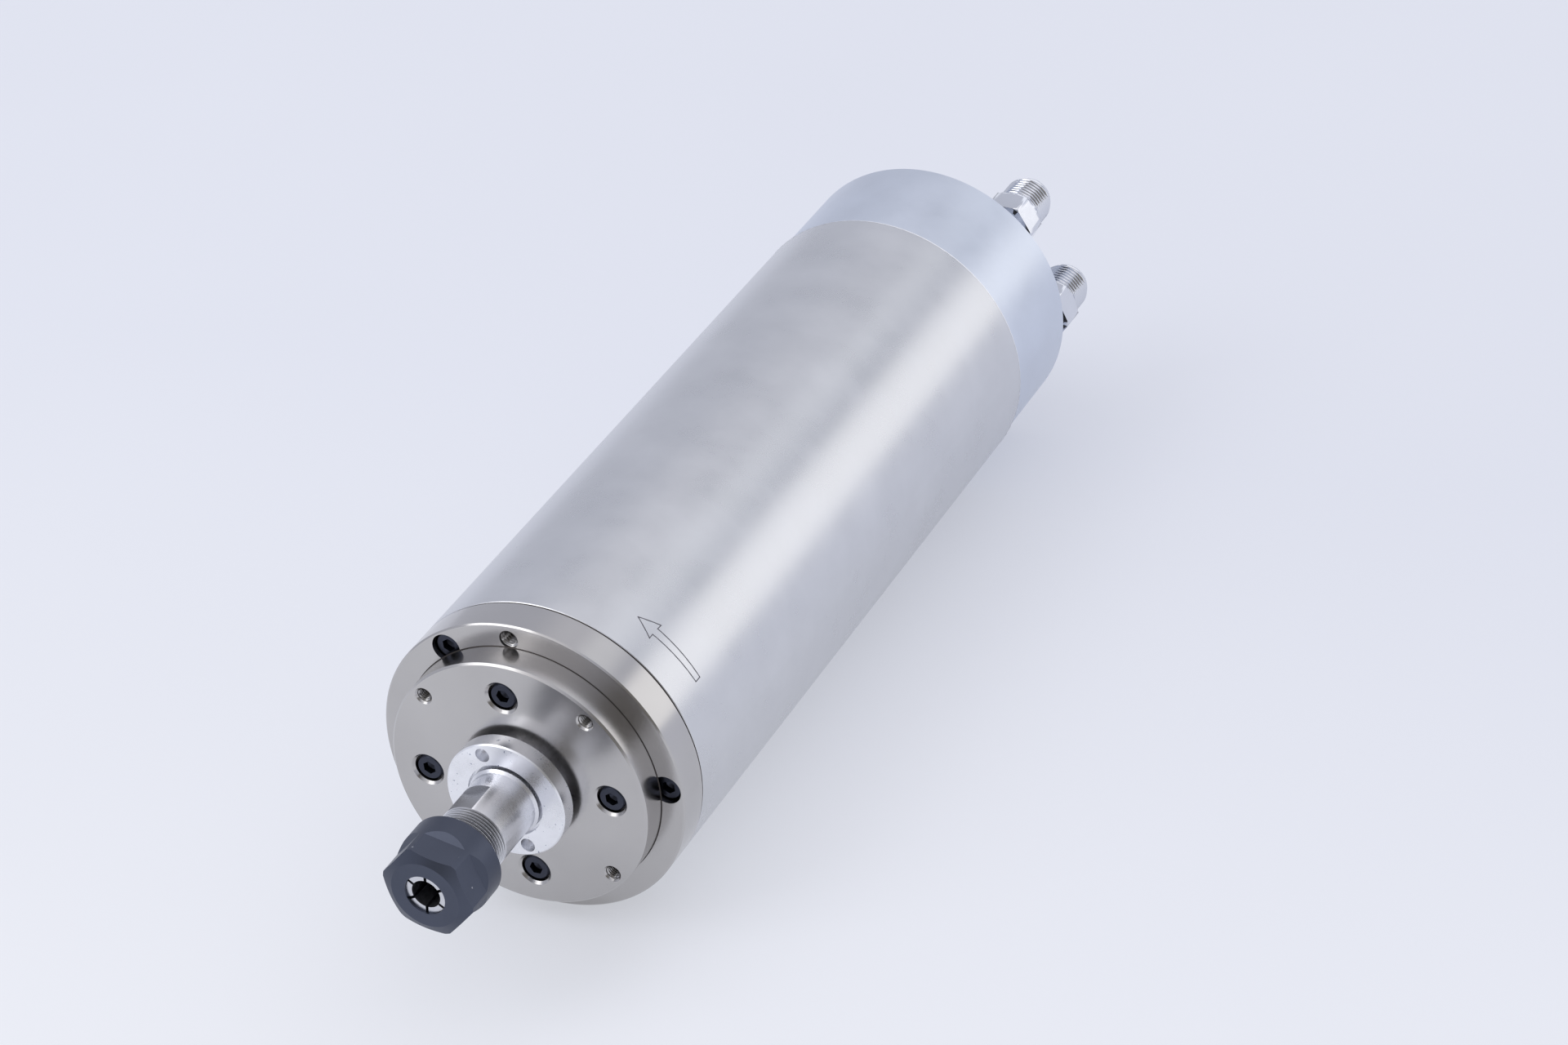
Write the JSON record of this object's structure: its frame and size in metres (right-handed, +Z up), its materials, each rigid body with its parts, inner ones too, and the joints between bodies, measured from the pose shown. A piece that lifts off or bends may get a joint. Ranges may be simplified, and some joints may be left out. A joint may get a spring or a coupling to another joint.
{
  "type": "motor spindle",
  "caption": "Water-cooled motor spindle: round clamping tube, screwed nose flange, collet chuck on a ground shaft, rear cover with two water fittings and a round connector.",
  "frame": {"origin": "on the shaft axis, at the middle of the 65 mm clamping tube", "axes": "+Y along the shaft towards the rear cover, the collet nose points to -Y, +Z up as the spindle lies on its side"},
  "size_m": [0.065, 0.2557, 0.065],
  "materials": {
    "satin_steel": "satin turned stainless steel",
    "flange_steel": "fine turned nickel-plated steel",
    "black_screws": "black oxide",
    "aluminium_matte": "matte blasted and clear anodised",
    "aluminium_bright": "bright turned",
    "nickel_plate": "bright nickel plate",
    "ground_steel": "ground",
    "black_nut": "blue-black oxide",
    "collet_steel": "ground and polished",
    "bearing_steel": "polished",
    "cage_resin": "fabric-filled phenolic",
    "seal_rubber": "matte",
    "lamination_steel": "stacked sheets",
    "copper_winding": "varnished copper wire",
    "insulation_film": "white film",
    "wedge_resin": "glass-filled resin",
    "spring_steel": "blued",
    "connector_black": "moulded",
    "contact_brass": "silvered brass",
    "lead_sleeve": "silicone sleeve"
  },
  "bodies": {
    "housing": {"connector_gasket": "seal_rubber", "connector_insulator": "connector_black", "connector_nut": "nickel_plate", "connector_pins": "contact_brass", "connector_shell": "nickel_plate", "cooling_jacket": "aluminium_matte", "cover_screws": "black_screws", "fitting_washers": "seal_rubber", "flange_o_ring": "seal_rubber", "flange_screws": "black_screws", "front_bearing_cover": "flange_steel", "front_bearing_outer_race": "bearing_steel", "front_flange": "flange_steel", "housing_o_rings": "seal_rubber", "housing_screws": "black_screws", "inner_bearing_outer_race": "bearing_steel", "jacket_o_ring": "seal_rubber", "motor_leads": "lead_sleeve", "outer_spacer": "bearing_steel", "outer_tube": "satin_steel", "port_o_rings": "seal_rubber", "preload_spring": "spring_steel", "rear_bearing_housing": "aluminium_matte", "rear_bearing_outer_race": "bearing_steel", "rear_cover": "aluminium_matte", "rear_cover_screws": "black_screws", "slot_liners": "insulation_film", "slot_wedges": "wedge_resin", "stator_core": "lamination_steel", "stator_windings": "copper_winding", "water_inlet_fitting": "nickel_plate", "water_outlet_fitting": "nickel_plate"},
    "rotor": {"shaft": "ground_steel", "rotor_core": "lamination_steel", "rotor_cage": "aluminium_matte", "dust_ring": "aluminium_bright", "rear_lock_nut": "ground_steel", "inner_spacer": "bearing_steel", "front_bearing_inner_race": "bearing_steel", "inner_bearing_inner_race": "bearing_steel", "rear_bearing_inner_race": "bearing_steel"},
    "collet": {"collet": "collet_steel"},
    "collet_nut": {"collet_nut": "black_nut"},
    "front_bearing_ball_set": {"front_bearing_balls": "bearing_steel", "front_bearing_cage": "cage_resin"},
    "inner_bearing_ball_set": {"inner_bearing_balls": "bearing_steel", "inner_bearing_cage": "cage_resin"},
    "rear_bearing_ball_set": {"rear_bearing_balls": "bearing_steel", "rear_bearing_cage": "cage_resin"}
  },
  "joints": [
    {"name": "shaft_spin", "type": "hinge", "parent": "housing", "child": "rotor", "pos_m": [0, 0, 0], "axis": [0, 1, 0], "continuous": true},
    {"name": "nut_turn", "type": "hinge", "parent": "collet", "child": "collet_nut", "pos_m": [0, -0.1286, 0], "axis": [0, -1, 0], "range_deg": [0, 3600]},
    {"name": "collet_slide", "type": "slide", "parent": "rotor", "child": "collet", "axis": [0, -1, 0], "range_m": [0, 0.0075]},
    {"name": "front_bearing_ball_orbit", "type": "hinge", "parent": "housing", "child": "front_bearing_ball_set", "pos_m": [0, -0.0807, 0], "axis": [0, 1, 0], "continuous": true},
    {"name": "inner_bearing_ball_orbit", "type": "hinge", "parent": "housing", "child": "inner_bearing_ball_set", "pos_m": [0, -0.0677, 0], "axis": [0, 1, 0], "continuous": true},
    {"name": "rear_bearing_ball_orbit", "type": "hinge", "parent": "housing", "child": "rear_bearing_ball_set", "pos_m": [0, 0.0685, 0], "axis": [0, 1, 0], "continuous": true}
  ],
  "couplings": [
    {"joint": "nut_turn", "follows": "collet_slide", "rad_per_m": 8377.6},
    {"joint": "front_bearing_ball_orbit", "follows": "shaft_spin", "ratio": 0.40217},
    {"joint": "inner_bearing_ball_orbit", "follows": "shaft_spin", "ratio": 0.40217},
    {"joint": "rear_bearing_ball_orbit", "follows": "shaft_spin", "ratio": 0.38505}
  ]
}
